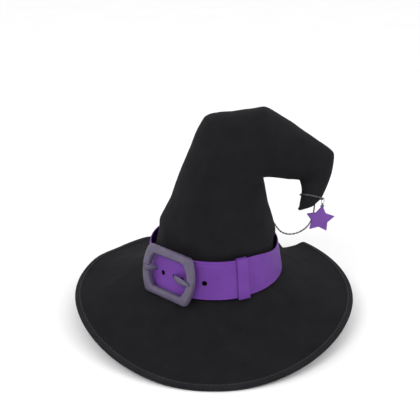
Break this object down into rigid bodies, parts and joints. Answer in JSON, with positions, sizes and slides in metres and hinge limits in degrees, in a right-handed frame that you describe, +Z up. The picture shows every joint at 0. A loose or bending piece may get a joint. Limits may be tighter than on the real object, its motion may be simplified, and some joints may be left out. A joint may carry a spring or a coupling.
{
  "type": "witch hat",
  "caption": "Pointed felt witch hat with a kinked crown, wide brim, buckled strap, and a star charm and fine chain hanging from the bent tip.",
  "frame": {"origin": "on the surface that the hat stands on, under the centre of the head opening", "axes": "+Z up, +Y towards the back of the hat, +X towards the side that the tip points to"},
  "size_m": [0.403, 0.41, 0.2971],
  "materials": {
    "felt_black": "brushed wool felt",
    "binding_black": "folded felt tape",
    "lining_black": "satin",
    "wadding": "polyester wadding",
    "wire_steel": "drawn wire",
    "band_black": "ribbed grosgrain",
    "strap_purple": "smooth dyed leather",
    "thread_black": "sewing thread",
    "buckle_grey": "satin pewter enamel",
    "chain_grey": "dark plated steel",
    "star_purple": "satin enamel"
  },
  "bodies": {
    "hat": {"crown_felt": "felt_black", "crown_lining": "lining_black", "crown_stuffing": "wadding", "crown_wire": "wire_steel", "brim_upper": "felt_black", "brim_lower": "felt_black", "brim_wire": "wire_steel", "brim_binding": "binding_black", "sweatband": "band_black", "strap_band": "strap_purple", "strap_tail": "strap_purple", "strap_tacks": "thread_black", "buckle_frame": "buckle_grey", "tip_chain_loop": "chain_grey", "hanging_chain": "chain_grey", "chain_anchor": "chain_grey"},
    "keeper": {"keeper_loop": "strap_purple"},
    "tongue": {"buckle_tongue": "buckle_grey"},
    "link": {"charm_link": "chain_grey"},
    "star": {"star_ring": "chain_grey", "star_charm": "star_purple"}
  },
  "joints": [
    {"name": "keeper_slide", "type": "hinge", "parent": "hat", "child": "keeper", "pos_m": [0, 0, 0.091], "axis": [0, 0, 1], "range_deg": [-28, 60]},
    {"name": "tongue_lift", "type": "hinge", "parent": "hat", "child": "tongue", "pos_m": [-0.09268, -0.05233, 0.09117], "axis": [-0.1091, -0.1347, -0.9849], "range_deg": [0, 0.4]},
    {"name": "link_swing", "type": "hinge", "parent": "hat", "child": "link", "pos_m": [0.1464, -0.026, 0.17944], "axis": [0, 1, 0], "range_deg": [-35, 10]},
    {"name": "star_swing", "type": "hinge", "parent": "link", "child": "star", "pos_m": [0.1464, -0.026, 0.17184], "axis": [1, 0, 0], "range_deg": [-60, 12]}
  ]
}
